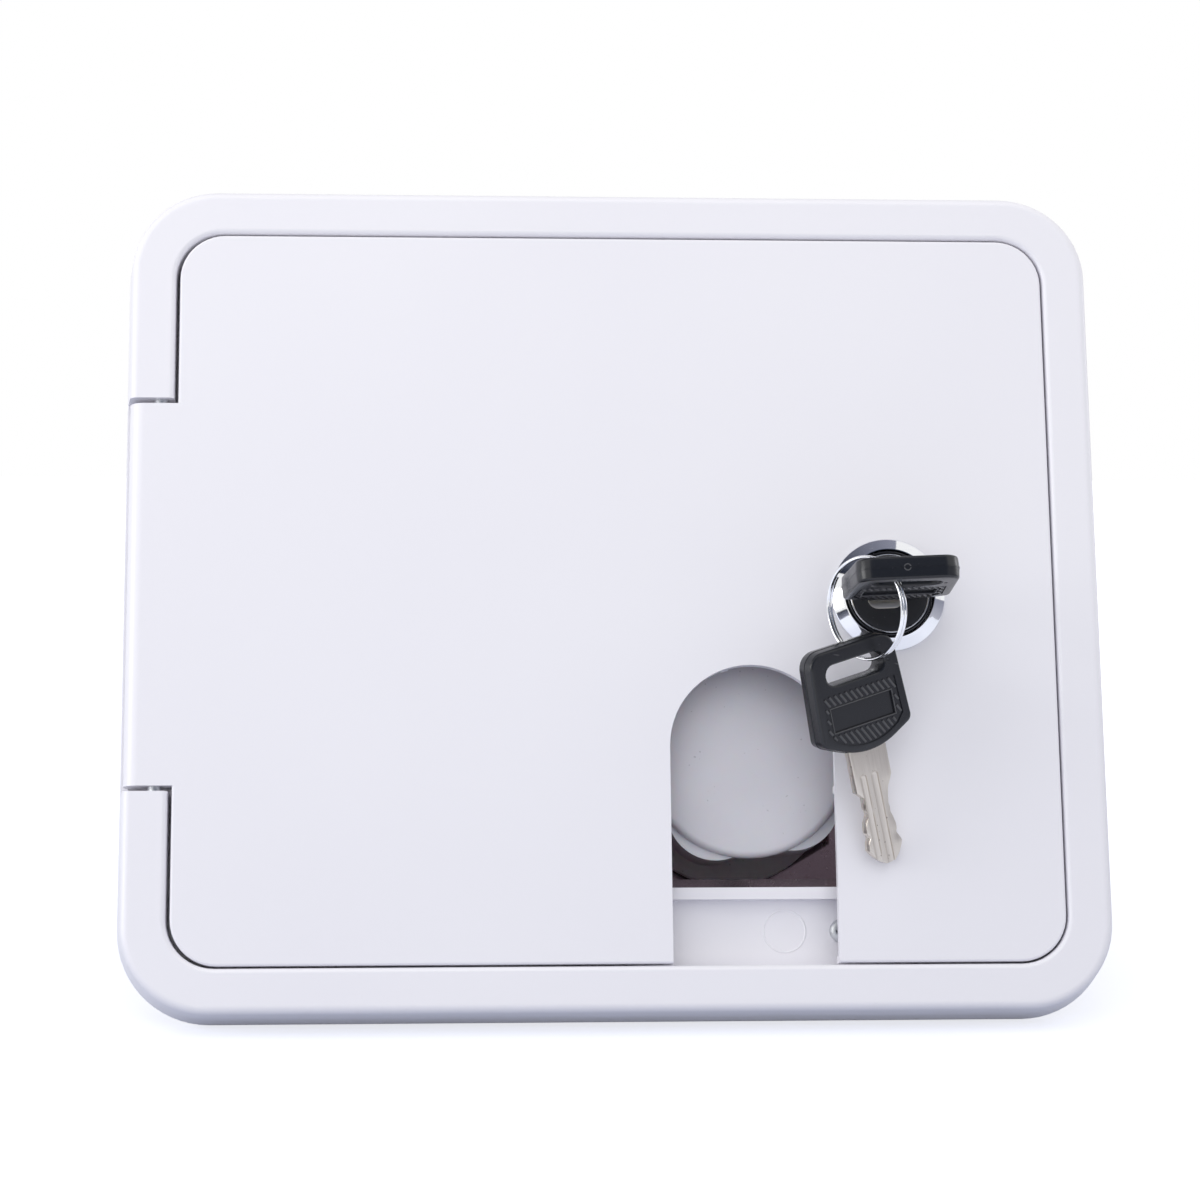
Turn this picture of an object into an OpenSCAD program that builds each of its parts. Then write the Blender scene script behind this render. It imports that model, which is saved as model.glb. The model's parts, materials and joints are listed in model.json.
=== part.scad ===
// Locking water fill hatch for a caravan wall, with a hinged door over a round filler cap.
// Millimetres. X runs right, Z up and -Y out towards the user.
// The origin is the middle of the frame's rear face, where it lies on the caravan's wall.
// Most modules draw lying on their back: x right, y up, z out from the wall. stand() turns them up.

/* [Frame] */
// Width of the opening that the door fills
opening_w = 197; // [170:1:240]
// Height of the opening that the door fills
opening_h = 165.4; // [150:1:200]
// Corner radius of the opening
opening_r = 10.6; // [8:0.2:16]
// Width of the frame's border at the wall
border_w = 11.4; // [11:0.1:16]
// How far the frame stands out from the wall
frame_t = 12; // [11.5:0.25:15]
// Corner radius of the frame at the wall
frame_r = 20.5; // [18:0.5:28]
// Draft of the frame's outer side, in degrees
frame_draft = 8; // [3:0.5:10]
// Radius of the frame's outer front edge
frame_edge_r = 2; // [1:0.25:2.5]
// Radius of the opening's front edge
opening_edge_r = 1.2; // [0.6:0.2:2]
// Wall thickness of the frame's moulding
frame_wall = 2.6; // [2:0.1:3]
// Width of the ledge from the opening's edge to the inner aperture
ledge_w = 17.5; // [15:0.5:22]
// Thickness of the rim that stands up round the inner aperture
rim_t = 2.6; // [2:0.1:3.5]
// Height of that rim above the ledge
rim_h = 3.4; // [2:0.2:3.6]
// Thickness of the ribs across the hollow back of the border
rib_t = 1.6; // [1.2:0.1:2.4]
// Distance between those ribs
rib_pitch = 24; // [18:1:40]

/* [Wall screws] */
// Distance between the screw holes from side to side
screw_x = 99; // [80:1:120]
// How far the screw holes lie in from the opening's edge
screw_inset = 8.1; // [7:0.1:10]
// Diameter of the screw holes in the ledge
screw_d = 4.2; // [3.2:0.1:5]

/* [Door] */
// Gap between the door and the opening
door_gap = 0.45; // [0.3:0.05:1]
// Gap between the door and the opening along the hinge
hinge_gap = 0.9; // [0.6:0.05:1.5]
// How far the door's face lies below the frame's face
door_sink = 0.2; // [0:0.1:0.6]
// Thickness of the door's skin
skin_t = 2.4; // [1.8:0.1:3]
// Depth of the turned-in edge round the door, skin included
door_depth = 5; // [4:0.1:5.2]
// Thickness of that edge and of the ribs behind the door
door_rib_t = 1.6; // [1.2:0.1:2.4]
// Height of the ribs behind the door's skin
door_rib_h = 2; // [1:0.1:2.5]
// Radius of the door's front edge
door_edge_r = 0.6; // [0.3:0.1:1.2]
// Width of the hose slot in the door
slot_w = 36.4; // [30:0.2:44]
// Height of the slot from the opening's bottom edge to the middle of its arch
slot_h = 48.1; // [40:0.1:60]
// Distance from the opening's middle to the slot's middle
slot_x = 29.5; // [25:0.1:34]

/* [Hinge] */
// Length of the door's hinge tab
tab_l = 86; // [60:1:110]
// Gap at each end of the tab
tab_gap = 1.2; // [0.8:0.1:2]
// Thickness of the tab
tab_t = 6.6; // [6:0.1:7]
// Distance from the hinge's axis to the tab's outer edge
tab_reach = 6.9; // [6:0.1:7]
// Distance from the door's edge to the hinge's axis
hinge_in = 3.9; // [3.6:0.1:4.4]
// Depth of the hinge's axis below the door's face
hinge_depth = 2.7; // [2.5:0.1:2.8]
// Diameter of the hinge pins
hinge_pin_d = 3; // [2.5:0.1:3.4]
// Length of each hinge pin
hinge_pin_l = 16; // [12:0.5:24]
// Running clearance round the tab when it swings
tab_clear = 0.5; // [0.4:0.05:0.8]

/* [Tray] */
// Depth of the tray behind the wall plane
tray_depth = 48; // [40:1:70]
// How far the tray's front edge reaches into the frame's aperture
tray_in = 1.6; // [1:0.1:2.4]
// Wall thickness of the tray
tray_wall = 2.2; // [1.8:0.1:3]
// Draft of the tray's sides, in degrees
tray_draft = 2; // [1:0.5:4]
// Corner radius of the inner aperture and the tray
tray_r = 8; // [6:0.5:12]

/* [Filler] */
// Outside diameter of the filler neck
neck_d = 38; // [34:0.5:40]
// Bore of the filler neck
neck_bore = 32; // [28:0.5:33]
// Length of the hose tail behind the tray
tail_l = 34; // [24:1:50]
// Outside diameter of the thread that passes through the tray
thread_d = 40; // [39:0.5:42]
// Outside diameter of the hose tail, over its land and its barbs
tail_d = 38; // [36:0.5:39]
// Length of the plain land on the tail where the hose clamp sits
land_l = 10; // [8:0.5:16]
// Depth of the grooves between the hose tail's barbs
barb_h = 1.2; // [0.6:0.1:1.8]
// Diameter of the neck's sealing flange
neck_flange_d = 50; // [47:1:52]
// Thickness of the neck's sealing flange
neck_flange_t = 3; // [2:0.5:4]
// Thickness of the rubber gasket under the flange
gasket_t = 1.5; // [1:0.25:3]
// Thickness of the nut behind the tray
neck_nut_t = 6; // [4:0.5:9]
// Width of that nut across its flats
neck_nut_w = 50; // [48:1:58]

/* [Cap] */
// Diameter of the cap's round front
cap_d = 46.8; // [44:0.2:52]
// Thickness of the cap's round front at its edge
cap_t = 4.2; // [3:0.1:6]
// Rise of the crown in the middle of the cap
cap_crown = 0.6; // [0.2:0.1:1.2]
// Radius of the cap's front edge
cap_edge_r = 1.9; // [1:0.1:2]
// How far the cap's front lies behind the frame's face
cap_sink = 9.4; // [8.5:0.1:14]
// Number of lobes round the grip
lobes = 5; // [4:1:8]
// Radius of each lobe
lobe_r = 10.8; // [8:0.2:12]
// Distance from the cap's middle to the middle of each lobe
lobe_offset = 14.8; // [13:0.2:15.4]
// Depth of the lobed grip
grip_l = 15; // [12:0.5:18]
// Thickness of the seal in the cap
seal_t = 1.6; // [1:0.1:2.5]

/* [Lock] */
// Distance from the opening's right edge to the lock
lock_inset = 37.8; // [34.5:0.1:41.5]
// Height of the lock from the opening's middle
lock_z = -0.7; // [-4:0.1:4]
// Diameter of the chrome bezel
bezel_d = 25.6; // [23:0.1:28]
// Gap between the bezel's hole and the lock's barrel
bezel_fit = 0.3; // [0.1:0.05:0.6]
// How far the bezel stands out from the door
bezel_t = 2.75; // [1.5:0.05:3]
// Diameter of the lock's threaded barrel
barrel_d = 19.3; // [18.6:0.1:20]
// Diameter of the turning plug
plug_d = 17.9; // [15:0.1:18.4]
// Thickness of the bright ring round the plug's face
plug_ring_t = 0.4; // [0.3:0.05:0.8]
// Angle by which the key and the plug are turned in the rest pose
plug_turn = 2.4; // [-5:0.2:5]
// Width of the lock nut across its flats
nut_w = 23; // [22:0.5:26]
// Thickness of the lock nut
nut_t = 3.5; // [2.5:0.5:4]
// Gap between the cam's tip and the tray's side when the door is locked
cam_end_gap = 2.8; // [1.2:0.1:3.6]
// Width of the cam
cam_w = 12; // [9:0.5:13]
// Thickness of the cam
cam_t = 2; // [1.5:0.1:2.5]
// Gap between the keeper and the lock's barrel beside it
keeper_side_gap = 1.5; // [1:0.1:2]
// Height of the keeper
keeper_w = 24; // [14:1:30]
// Gap between the keeper and the cam behind it
keeper_gap = 0.6; // [0.3:0.1:1.5]

/* [Keys] */
// Width of a key's head at its blade end
head_w = 24.3; // [22:0.1:28]
// Width of a key's head at its outer end
head_end_w = 22.8; // [20:0.1:25]
// Length of a key's head
head_l = 24.5; // [23:0.1:32]
// Thickness of a key's head
head_t = 5.1; // [4.4:0.1:6.4]
// Length of the slot in a key's head
key_slot_l = 15.1; // [12:0.1:16]
// Width of the slot in a key's head
key_slot_w = 4.55; // [3.6:0.05:5.2]
// Distance from the head's outer end to the middle of its slot
key_slot_in = 5.9; // [5:0.1:8]
// Width of a key's blade
blade_w = 9.6; // [8:0.1:10.4]
// Thickness of a key's blade
blade_t = 2; // [1.6:0.1:2.2]
// Length of a key's blade beyond its head
blade_l = 25.7; // [20:0.1:28]
// Gap between the head of the key in the lock and the plug
key_gap = 3.5; // [0.8:0.1:4.5]
// Radius of the split ring to the middle of its wire
ring_r = 11.14; // [10.8:0.02:11.6]
// Thickness of the split ring's wire
ring_wire = 0.9; // [0.7:0.05:1.1]
// Gap between the door and the tip of the key that hangs from the ring
tip_gap = 0.45; // [0.3:0.05:3]

/* [Hidden] */
$fn = 48;

// Small amount by which a cut runs past the face that it opens
past = 1;
// Clearance of pieces that turn or slide in each other
running_fit = 0.05;
// Clearance of fixed pieces that drop into each other
loose_fit = 0.2;

frame_w = opening_w + 2 * border_w;
frame_h = opening_h + 2 * border_w;
ledge_top = frame_wall;
rim_top = ledge_top + rim_h;
aperture_w = opening_w - 2 * ledge_w;
aperture_h = opening_h - 2 * ledge_w;

door_face = frame_t - door_sink;
door_left = -opening_w / 2 + hinge_gap;
door_right = opening_w / 2 - door_gap;
door_top = opening_h / 2 - door_gap;
door_r = opening_r - door_gap;
hinge_x = door_left - hinge_in;
hinge_z = door_face - hinge_depth;
tab_swing = tab_reach + tab_clear;
tab_cut_z = door_face - tab_t - loose_fit;
slot_arch_y = -opening_h / 2 + slot_h;

lock_x = opening_w / 2 - lock_inset;
bezel_top = door_face + bezel_t;
// Material left in the plug past the tip of the key's blade
plug_floor = 1;
blade_end = bezel_top + key_gap - blade_l;
barrel_end = blade_end - plug_floor;
// How far the plug stands out behind the barrel
plug_out = 0.6;
plug_end = barrel_end - plug_out;
plug_core_d = plug_d - 2 * plug_ring_t;
plug_ring_l = 4;
bezel_bore = barrel_d + 2 * bezel_fit;
bezel_lip = 0.6;
bezel_rim = 1.2;
// Length of the blade's tang inside the key's head
tang_l = 9;
// Half the width of a blade's tip
tip_half = 1;

// Place of the split ring's middle: left of the lock, in from the key's outer end, and below the key
ring_left = 7.63;
ring_in = 13.36;
ring_low = 6.37;
ring_pos = [lock_x - ring_left, -(bezel_top + key_gap + head_l) + ring_in, lock_z - ring_low];
ring_turn = -53.79;
ring_tip = 10.9;
// Half the distance between the ring's two coils, as a share of the wire
coil_share = 0.46;
// Where the spare key hangs: the angle round the ring, and the place in the key's slot
hang_angle = -7.15;
hang_in_slot = [5.75, 0.3];
hang_pos = ring_pos + ring_r * [
    sin(hang_angle) * cos(ring_turn) - cos(hang_angle) * sin(ring_tip) * sin(ring_turn),
    sin(hang_angle) * sin(ring_turn) + cos(hang_angle) * sin(ring_tip) * cos(ring_turn),
    -cos(hang_angle) * cos(ring_tip)
];
spare_turn = 21.31;
spare_tilt = 13.38;
// It leans until its tip lies the gap off the door: across and along are the tip's place from the ring
tip_across = (tip_half - hang_in_slot[0]) * sin(spare_turn) + blade_t / 2 * cos(spare_turn);
tip_along = head_l + blade_l - key_slot_in + hang_in_slot[1];
spare_lean = asin((-hang_pos[1] - door_face - tip_gap) / norm([tip_across, tip_along]))
    - atan2(tip_across, tip_along);

cap_face = frame_t - cap_sink;
cap_x = slot_x;
cap_y = slot_arch_y;
grip_end = cap_face - cap_t - grip_l;
neck_top = cap_face - cap_t - seal_t;
// Clearance of the neck's screw thread in the cap
thread_fit = 0.55;
grip_bore_d = neck_d + 2 * thread_fit;
grip_wall = 1.8;
seal_lip = 1;
crown_r = (cap_d * cap_d / 4 + cap_crown * cap_crown) / (2 * cap_crown);
tray_inner = -tray_depth + tray_wall;
tray_w = aperture_w - 2 * running_fit;
tray_h = aperture_h - 2 * running_fit;
cam_top = plug_end;
keeper_end = cam_top + keeper_gap;
// Distance from the opening's middle to the tray's side behind the keeper
tray_side = tray_w / 2 - tray_wall - (tray_in - keeper_end) * tan(tray_draft);
keeper_left = lock_x + barrel_d / 2 + keeper_side_gap;
cam_l = tray_side - lock_x - cam_end_gap;
cam_corner = 2;
cam_screw_d = 7;
cam_screw_h = 2.4;
nut_end = -tray_depth - neck_nut_t;
tail_end = nut_end - tail_l;
neck_seat = tray_inner + gasket_t;

module stand() {
    rotate([90, 0, 0])
        children();
}

// Half of a plate's outline section, from its middle out to a drafted side with a round front edge
module edge_section(reach, t, draft, edge_r) {
    middle_x = reach - (edge_r + (t - edge_r) * sin(draft)) / cos(draft);
    polygon([
        [0, 0],
        [reach, 0],
        [middle_x + edge_r * cos(draft), t - edge_r + edge_r * sin(draft)],
        [middle_x, t],
        [0, t]
    ]);
    translate([middle_x, t - edge_r])
        circle(r = edge_r);
}

// A plate w by h with round corners, whose sides all follow the section given as a child
module sectioned_plate(w, h, r, t) {
    run_x = w / 2 - r;
    run_y = h / 2 - r;
    translate([-run_x, -run_y, 0])
        cube([2 * run_x, 2 * run_y, t]);
    for (side = [0, 1])
        rotate([0, 0, 180 * side]) {
            translate([run_x, run_y, 0])
                rotate([90, 0, 0])
                    linear_extrude(2 * run_y)
                        children();
            translate([-run_x, run_y, 0])
                rotate([90, 0, 90])
                    linear_extrude(2 * run_x)
                        children();
            translate([run_x, run_y, 0])
                rotate_extrude(angle = 90)
                    children();
            translate([-run_x, run_y, 0])
                rotate([0, 0, 90])
                    rotate_extrude(angle = 90)
                        children();
        }
}

module round_rect(w, h, r) {
    square([w - 2 * r, h], center = true);
    square([w, h - 2 * r], center = true);
    for (x = [-1, 1], y = [-1, 1])
        translate([x * (w / 2 - r), y * (h / 2 - r)])
            circle(r = r);
}

// Cuts a round edge round an opening: the child is the section, x out from the opening's wall
module around_opening(w, h, r) {
    run_x = w / 2 - r;
    run_y = h / 2 - r;
    for (side = [0, 1])
        rotate([0, 0, 180 * side]) {
            translate([w / 2, run_y, 0])
                rotate([90, 0, 0])
                    linear_extrude(2 * run_y)
                        children();
            translate([-run_x, h / 2, 0])
                rotate([90, 0, 90])
                    linear_extrude(2 * run_x)
                        children();
            translate([run_x, run_y, 0])
                rotate_extrude(angle = 90)
                    translate([r, 0])
                        children();
            translate([-run_x, run_y, 0])
                rotate([0, 0, 90])
                    rotate_extrude(angle = 90)
                        translate([r, 0])
                            children();
        }
}

// The hollow back of the border, between ribs, left solid beside the hinge
module border_channel() {
    wall_in = frame_t * tan(frame_draft) + frame_wall;
    depth = frame_t - frame_wall;
    solid_y = tab_l / 2 + tab_gap + hinge_pin_l / 2 + frame_wall;
    translate([0, 0, -past])
        linear_extrude(depth + past)
            difference() {
                round_rect(frame_w - 2 * wall_in, frame_h - 2 * wall_in, frame_r - wall_in);
                round_rect(
                    opening_w + 2 * frame_wall, opening_h + 2 * frame_wall, opening_r + frame_wall
                );
                translate([-frame_w / 2 - past, -solid_y])
                    square([border_w + 2 * past, 2 * solid_y]);
                for (x = [-3 : 3])
                    translate([x * rib_pitch - rib_t / 2, -frame_h / 2])
                        square([rib_t, frame_h]);
                for (y = [-2 : 2])
                    translate([0, y * rib_pitch - rib_t / 2])
                        square([frame_w / 2, rib_t]);
            }
}

// Room for the hinge tab: open to the front, round behind
module hinge_pocket() {
    half = tab_l / 2 + tab_gap;
    edge = -opening_w / 2;
    translate([hinge_x, half, hinge_z])
        rotate([90, 0, 0])
            cylinder(r = tab_swing, h = 2 * half);
    translate([-frame_w / 2 - past, -half, tab_cut_z])
        cube([frame_w / 2 + edge + 2 * past, 2 * half, frame_t]);
    translate([hinge_x, -half, hinge_z - tab_swing])
        cube([edge - hinge_x + past, 2 * half, frame_t]);
}

module hinge_bores(clearance) {
    for (side = [-1, 1])
        translate([hinge_x, side * (tab_l / 2 + tab_gap / 2), hinge_z])
            rotate([90, 0, 0])
                cylinder(d = hinge_pin_d + 2 * clearance, h = hinge_pin_l + 2 * loose_fit, center = true);
}

module frame_solid() {
    difference() {
        sectioned_plate(frame_w, frame_h, frame_r, frame_t)
            edge_section(frame_r, frame_t, frame_draft, frame_edge_r);
        translate([0, 0, ledge_top])
            linear_extrude(frame_t)
                round_rect(opening_w, opening_h, opening_r);
        around_opening(opening_w, opening_h, opening_r)
            difference() {
                translate([-past, frame_t - opening_edge_r])
                    square([opening_edge_r + past, opening_edge_r + past]);
                translate([opening_edge_r, frame_t - opening_edge_r])
                    circle(r = opening_edge_r);
            }
        border_channel();
        hinge_pocket();
        hinge_bores(0);
    }
}

module bezel_frame() {
    color("white")
        stand()
            difference() {
                union() {
                    frame_solid();
                    linear_extrude(rim_top)
                        round_rect(aperture_w + 2 * rim_t, aperture_h + 2 * rim_t, tray_r + rim_t);
                }
                translate([0, 0, -past])
                    linear_extrude(rim_top + 2 * past)
                        round_rect(aperture_w, aperture_h, tray_r);
                for (x = [-1, 1], y = [-1, 1])
                    translate([x * screw_x / 2, y * (opening_h / 2 - screw_inset), -past])
                        cylinder(d = screw_d, h = ledge_top + 2 * past);
            }
}

// A drafted, round-cornered block that narrows from the height z backwards
module tray_block(w, h, r, z, depth) {
    lean = depth * tan(tray_draft);
    translate([0, 0, z])
        mirror([0, 0, 1])
            sectioned_plate(w, h, r, depth)
                polygon([[0, 0], [r, 0], [r - lean, depth], [0, depth]]);
}

// The room inside the tray, opened past its front edge
module tray_room() {
    widen = past * tan(tray_draft);
    tray_block(
        tray_w - 2 * tray_wall + 2 * widen,
        tray_h - 2 * tray_wall + 2 * widen,
        tray_r - tray_wall + widen,
        tray_in + past,
        tray_in + tray_depth - tray_wall + past
    );
}

// The tray fits into the frame's aperture
module recess_tray() {
    color("dimgray")
        stand()
            difference() {
                tray_block(tray_w, tray_h, tray_r, tray_in, tray_in + tray_depth);
                tray_room();
                translate([cap_x, cap_y, -tray_depth - past])
                    cylinder(d = thread_d + 2 * running_fit, h = tray_wall + 2 * past);
            }
}

// The keeper lies flat against the tray's side, and the lock's cam turns in behind it
module lock_keeper() {
    color("dimgray")
        stand()
            intersection() {
                tray_room();
                translate([keeper_left, lock_z - keeper_w / 2, keeper_end])
                    cube([tray_w / 2 - keeper_left, keeper_w, -keeper_end]);
            }
}

// The neck, its flange, its threaded shank and its barbed hose tail, turned as one piece
module filler_neck() {
    tail_r = tail_d / 2;
    barbs = 3;
    barb_pitch = (tail_l - land_l) / barbs;
    color("white")
        stand()
            translate([cap_x, cap_y, 0])
                difference() {
                    union() {
                        translate([0, 0, neck_seat])
                            cylinder(d = neck_d, h = neck_top - neck_seat);
                        translate([0, 0, neck_seat])
                            cylinder(d = neck_flange_d, h = neck_flange_t);
                        translate([0, 0, nut_end])
                            cylinder(d = thread_d, h = neck_seat - nut_end);
                        translate([0, 0, nut_end - land_l])
                            cylinder(r = tail_r, h = land_l);
                        for (i = [0 : barbs - 1])
                            translate([0, 0, tail_end + i * barb_pitch])
                                cylinder(r1 = tail_r - barb_h, r2 = tail_r, h = barb_pitch);
                    }
                    translate([0, 0, tail_end - past])
                        cylinder(d = neck_bore, h = neck_top - tail_end + 2 * past);
                }
}

module neck_gasket() {
    color("black")
        stand()
            translate([cap_x, cap_y, tray_inner])
                difference() {
                    cylinder(d = neck_flange_d, h = gasket_t);
                    translate([0, 0, -past])
                        cylinder(d = thread_d + 2 * running_fit, h = gasket_t + 2 * past);
                }
}

module neck_nut() {
    color("white")
        stand()
            translate([cap_x, cap_y, nut_end])
                difference() {
                    cylinder(d = neck_nut_w / cos(30), h = neck_nut_t, $fn = 6);
                    translate([0, 0, -past])
                        cylinder(d = thread_d + 2 * running_fit, h = neck_nut_t + 2 * past);
                }
}

module hinge_pin(side) {
    color("silver")
        stand()
            translate([hinge_x, side * (tab_l / 2 + tab_gap / 2), hinge_z])
                rotate([90, 0, 0])
                    cylinder(d = hinge_pin_d, h = hinge_pin_l, center = true);
}

module hinge_pin_upper() {
    hinge_pin(1);
}

module hinge_pin_lower() {
    hinge_pin(-1);
}

// The hinge tab: a flat arm with a round outer edge that wraps over the frame's border
module hinge_tab() {
    end_r = tab_t / 2;
    end_x = hinge_x - tab_reach + end_r;
    translate([0, tab_l / 2, 0])
        rotate([90, 0, 0])
            linear_extrude(tab_l) {
                translate([end_x, door_face - end_r])
                    circle(r = end_r);
                translate([end_x, door_face - tab_t])
                    square([door_left + door_r - end_x, tab_t]);
            }
}

module slot_shape(grow) {
    translate([slot_x, slot_arch_y])
        circle(d = slot_w + 2 * grow);
    translate([slot_x - slot_w / 2 - grow, -opening_h / 2 - past])
        square([slot_w + 2 * grow, slot_h + past]);
}

module door_skin() {
    w = door_right - door_left;
    translate([(door_left + door_right) / 2, 0, door_face - skin_t])
        sectioned_plate(w, 2 * door_top, door_r, skin_t)
            edge_section(door_r, skin_t, 0, door_edge_r);
}

// The edge turned in round the door and the ribs across its back
module door_stiffening() {
    w = door_right - door_left;
    middle = (door_left + door_right) / 2;
    depth = door_depth - skin_t;
    rib_step_x = 32;
    rib_shift_x = -8;
    rib_step_y = 44;
    nut_room = 1;
    translate([middle, 0, door_face - door_depth])
        linear_extrude(depth + skin_t / 2)
            difference() {
                round_rect(w, 2 * door_top, door_r);
                round_rect(w - 2 * door_rib_t, 2 * (door_top - door_rib_t), door_r - door_rib_t);
            }
    translate([0, 0, door_face - skin_t - door_rib_h])
        linear_extrude(door_rib_h + skin_t / 2)
            difference() {
                union() {
                    for (x = [-2 : 2])
                        translate([x * rib_step_x + rib_shift_x - door_rib_t / 2, -door_top + door_rib_t / 2])
                            square([door_rib_t, 2 * door_top - door_rib_t]);
                    for (y = [-1 : 1])
                        translate([door_left + door_rib_t / 2, y * rib_step_y - door_rib_t / 2])
                            square([w - door_rib_t, door_rib_t]);
                }
                translate([lock_x, lock_z])
                    circle(d = nut_w / cos(30) + 2 * nut_room);
            }
}

module door_panel() {
    color("white")
        stand()
            difference() {
                union() {
                    door_skin();
                    door_stiffening();
                    hinge_tab();
                }
                translate([0, 0, -past])
                    linear_extrude(frame_t + 2 * past)
                        slot_shape(0);
                hinge_bores(running_fit);
                translate([lock_x, lock_z, 0])
                    cylinder(d = barrel_d + 2 * loose_fit, h = frame_t + past);
            }
}

module at_lock(z) {
    stand()
        translate([lock_x, lock_z, z])
            children();
}

module on_plug(z) {
    at_lock(z)
        rotate([0, 0, plug_turn])
            children();
}

module lock_bezel() {
    color("lightgray")
        at_lock(door_face)
            difference() {
                union() {
                    cylinder(d = bezel_d, h = bezel_lip);
                    translate([0, 0, bezel_lip])
                        cylinder(d1 = bezel_d, d2 = bezel_bore + 2 * bezel_rim, h = bezel_t - bezel_lip);
                }
                translate([0, 0, -past])
                    cylinder(d = bezel_bore, h = bezel_t + 2 * past);
            }
}

module lock_housing() {
    color("black")
        at_lock(barrel_end)
            difference() {
                cylinder(d = barrel_d, h = bezel_top - barrel_end);
                translate([0, 0, -past])
                    cylinder(d = plug_d + 2 * running_fit, h = bezel_top - barrel_end + 2 * past);
            }
}

module lock_nut() {
    color("silver")
        at_lock(door_face - skin_t - nut_t)
            difference() {
                cylinder(d = nut_w / cos(30), h = nut_t, $fn = 6);
                translate([0, 0, -past])
                    cylinder(d = barrel_d + 2 * running_fit, h = nut_t + 2 * past);
            }
}

module lock_plug() {
    keyway_w = blade_w + 2 * loose_fit;
    keyway_t = blade_t + 2 * loose_fit;
    keyway_end = blade_end - plug_floor / 2;
    color("black")
        on_plug(plug_end)
            difference() {
                union() {
                    cylinder(d = plug_d, h = bezel_top - plug_ring_l - plug_end);
                    cylinder(d = plug_core_d, h = bezel_top - plug_end);
                }
                translate([-keyway_w / 2, -keyway_t / 2, keyway_end - plug_end])
                    cube([keyway_w, keyway_t, bezel_top - keyway_end + past]);
            }
}

module plug_ring() {
    color("silver")
        on_plug(bezel_top - plug_ring_l)
            difference() {
                cylinder(d = plug_d, h = plug_ring_l);
                translate([0, 0, -past])
                    cylinder(d = plug_core_d, h = plug_ring_l + 2 * past);
            }
}

// Points up when the door is unlocked, and behind the keeper when the key is turned
module lock_cam() {
    color("silver")
        on_plug(cam_top - cam_t)
            linear_extrude(cam_t) {
                circle(d = cam_w);
                polygon([
                    [-cam_w / 2, 0],
                    [cam_w / 2, 0],
                    [cam_w / 2, cam_l - cam_corner],
                    [cam_w / 2 - cam_corner, cam_l],
                    [-cam_w / 2 + cam_corner, cam_l],
                    [-cam_w / 2, cam_l - cam_corner]
                ]);
            }
}

module cam_screw() {
    color("silver")
        on_plug(cam_top - cam_t - cam_screw_h)
            cylinder(d = cam_screw_d, h = cam_screw_h);
}

// Keys lie flat: the outer end of the head at y = 0, the blade towards -y
module key_head_shape() {
    corner = 4;
    inner = 2.2;
    edge = 0.9;
    arc_r = 17;
    arc_w = 14;
    shoulder = 5.3;
    difference() {
        hull()
            for (layer = [[0, head_t], [edge, head_t - 2 * edge]])
                translate([0, 0, -layer[1] / 2])
                    linear_extrude(layer[1]) {
                        grow = edge - layer[0];
                        for (x = [-1, 1]) {
                            translate([x * (head_end_w / 2 - corner), -corner])
                                circle(r = corner - grow, $fn = 32);
                            translate([x * (head_w / 2 - inner), -head_l + shoulder])
                                circle(r = inner - grow, $fn = 16);
                        }
                        translate([0, -head_l + arc_r])
                            intersection() {
                                circle(r = arc_r - grow, $fn = 64);
                                translate([-arc_w / 2, -arc_r])
                                    square([arc_w, arc_r / 2]);
                            }
                    }
        translate([0, -key_slot_in, -head_t / 2 - past])
            linear_extrude(head_t + 2 * past) {
                square([key_slot_l - key_slot_w, key_slot_w], center = true);
                for (x = [-1, 1])
                    translate([x * (key_slot_l - key_slot_w) / 2, 0])
                        circle(d = key_slot_w);
            }
        translate([-blade_w / 2, -head_l - past, -blade_t / 2])
            cube([blade_w, tang_l + past, blade_t]);
    }
}

module key_blade_shape() {
    half = blade_w / 2;
    tip = -head_l - blade_l;
    shoulder_l = 7.5;
    shoulder = -head_l - shoulder_l;
    cut_in = 1.6;
    tip_in = 1.2;
    tip_l = 4;
    flute_w = 1.2;
    flute_depth = 0.4;
    edge = [
        [half, -head_l + tang_l],
        [half, shoulder],
        [half - cut_in, shoulder - cut_in],
        [half - tip_in, tip + tip_l],
        [tip_half, tip]
    ];
    last = len(edge) - 1;
    difference() {
        translate([0, 0, -blade_t / 2])
            linear_extrude(blade_t)
                polygon(concat(edge, [for (i = [last : -1 : 0]) [-edge[i][0], edge[i][1]]]));
        for (face = [-1, 1])
            translate([(face - 0.5) * flute_w, tip - past, face * blade_t / 2 - flute_depth])
                cube([flute_w, blade_l - tip_l, 2 * flute_depth]);
    }
}

// Key in the lock: its head stands out level from the plug
module in_lock() {
    on_plug(bezel_top + key_gap + head_l)
        rotate([90, 0, 0])
            children();
}

module key_blade() {
    color("silver")
        in_lock()
            key_blade_shape();
}

module key_head() {
    color("black")
        in_lock()
            key_head_shape();
}

// The split ring passes through the slot of the key in the lock and round the head's left side
module split_ring() {
    color("silver")
        translate(ring_pos)
            rotate([0, 0, ring_turn])
                rotate([ring_tip, 0, 0])
                    rotate([90, 0, 0])
                        rotate_extrude($fn = 64)
                            translate([ring_r, 0])
                                for (side = [-1, 1])
                                    translate([0, side * ring_wire * coil_share])
                                        circle(d = ring_wire);
}

// The spare key hangs from the ring by its slot and leans towards the door
module on_ring() {
    translate(hang_pos)
        rotate([0, -spare_tilt, 0])
            rotate([spare_lean, 0, 0])
                rotate([0, 0, spare_turn])
                    rotate([90, 0, 0])
                        translate([-hang_in_slot[0], key_slot_in - hang_in_slot[1], 0])
                            children();
}

module spare_key_blade() {
    color("silver")
        on_ring()
            key_blade_shape();
}

module spare_key_head() {
    color("black")
        on_ring()
            key_head_shape();
}

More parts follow.
